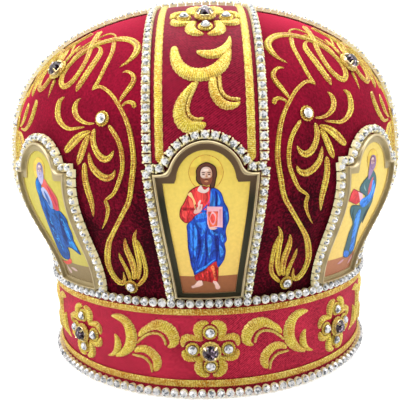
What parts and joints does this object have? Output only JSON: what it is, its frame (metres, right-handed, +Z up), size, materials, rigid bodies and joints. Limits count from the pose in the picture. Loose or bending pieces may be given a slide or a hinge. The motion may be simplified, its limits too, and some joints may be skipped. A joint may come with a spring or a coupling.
{
  "type": "bishop mitre",
  "caption": "Round velvet bishop's mitre with a satin head band, framed pictures, stone chains and gold embroidery, open below for the head.",
  "frame": {"origin": "centre of the head band's lower edge, on the surface that the mitre stands on", "axes": "+Z up through the middle of the crown, the front picture faces -Y, +X to the viewer's right"},
  "size_m": [0.2448, 0.2448, 0.2116],
  "materials": {
    "velvet": "crimson velvet, short pile",
    "band_satin": "crimson satin, fine weft",
    "strap_satin": "crimson satin twill",
    "gold_thread": "gold metallic embroidery thread, satin stitch",
    "brass": "polished pale brass moulding",
    "picture": "printed picture under clear lacquer",
    "rhinestone": "clear foiled crystal in gilt cups",
    "garnet": "dark foiled crystal in a gilt setting"
  },
  "bodies": {
    "root": {"crown_shell": "velvet", "head_band": "band_satin", "band_braid_top": "gold_thread", "band_braid_bottom": "gold_thread", "joint_chain": "rhinestone", "hem_chain": "rhinestone", "apex_square": "strap_satin", "apex_chain": "rhinestone", "strap_front": "strap_satin", "strap_right": "strap_satin", "strap_back": "strap_satin", "strap_left": "strap_satin", "strap_chain_front_a": "rhinestone", "strap_chain_front_b": "rhinestone", "strap_chain_right_a": "rhinestone", "strap_chain_right_b": "rhinestone", "strap_chain_back_a": "rhinestone", "strap_chain_back_b": "rhinestone", "strap_chain_left_a": "rhinestone", "strap_chain_left_b": "rhinestone", "strap_stone_front": "garnet", "strap_stone_right": "garnet", "strap_stone_back": "garnet", "strap_stone_left": "garnet", "panel_stone_0": "garnet", "panel_stone_1": "garnet", "panel_stone_2": "garnet", "panel_stone_3": "garnet", "icon_frame_0": "brass", "icon_frame_1": "brass", "icon_frame_2": "brass", "icon_frame_3": "brass", "icon_frame_4": "brass", "icon_frame_5": "brass", "icon_frame_6": "brass", "icon_frame_7": "brass", "icon_plate_0": "picture", "icon_plate_1": "picture", "icon_plate_2": "picture", "icon_plate_3": "picture", "icon_plate_4": "picture", "icon_plate_5": "picture", "icon_plate_6": "picture", "icon_plate_7": "picture", "icon_chain_0": "rhinestone", "icon_chain_1": "rhinestone", "icon_chain_2": "rhinestone", "icon_chain_3": "rhinestone", "icon_chain_4": "rhinestone", "icon_chain_5": "rhinestone", "icon_chain_6": "rhinestone", "icon_chain_7": "rhinestone", "band_stone_0": "garnet", "band_stone_1": "garnet", "band_stone_2": "garnet", "band_stone_3": "garnet", "band_stone_4": "garnet", "band_stone_5": "garnet", "band_stone_6": "garnet", "band_stone_7": "garnet"}
  },
  "joints": []
}
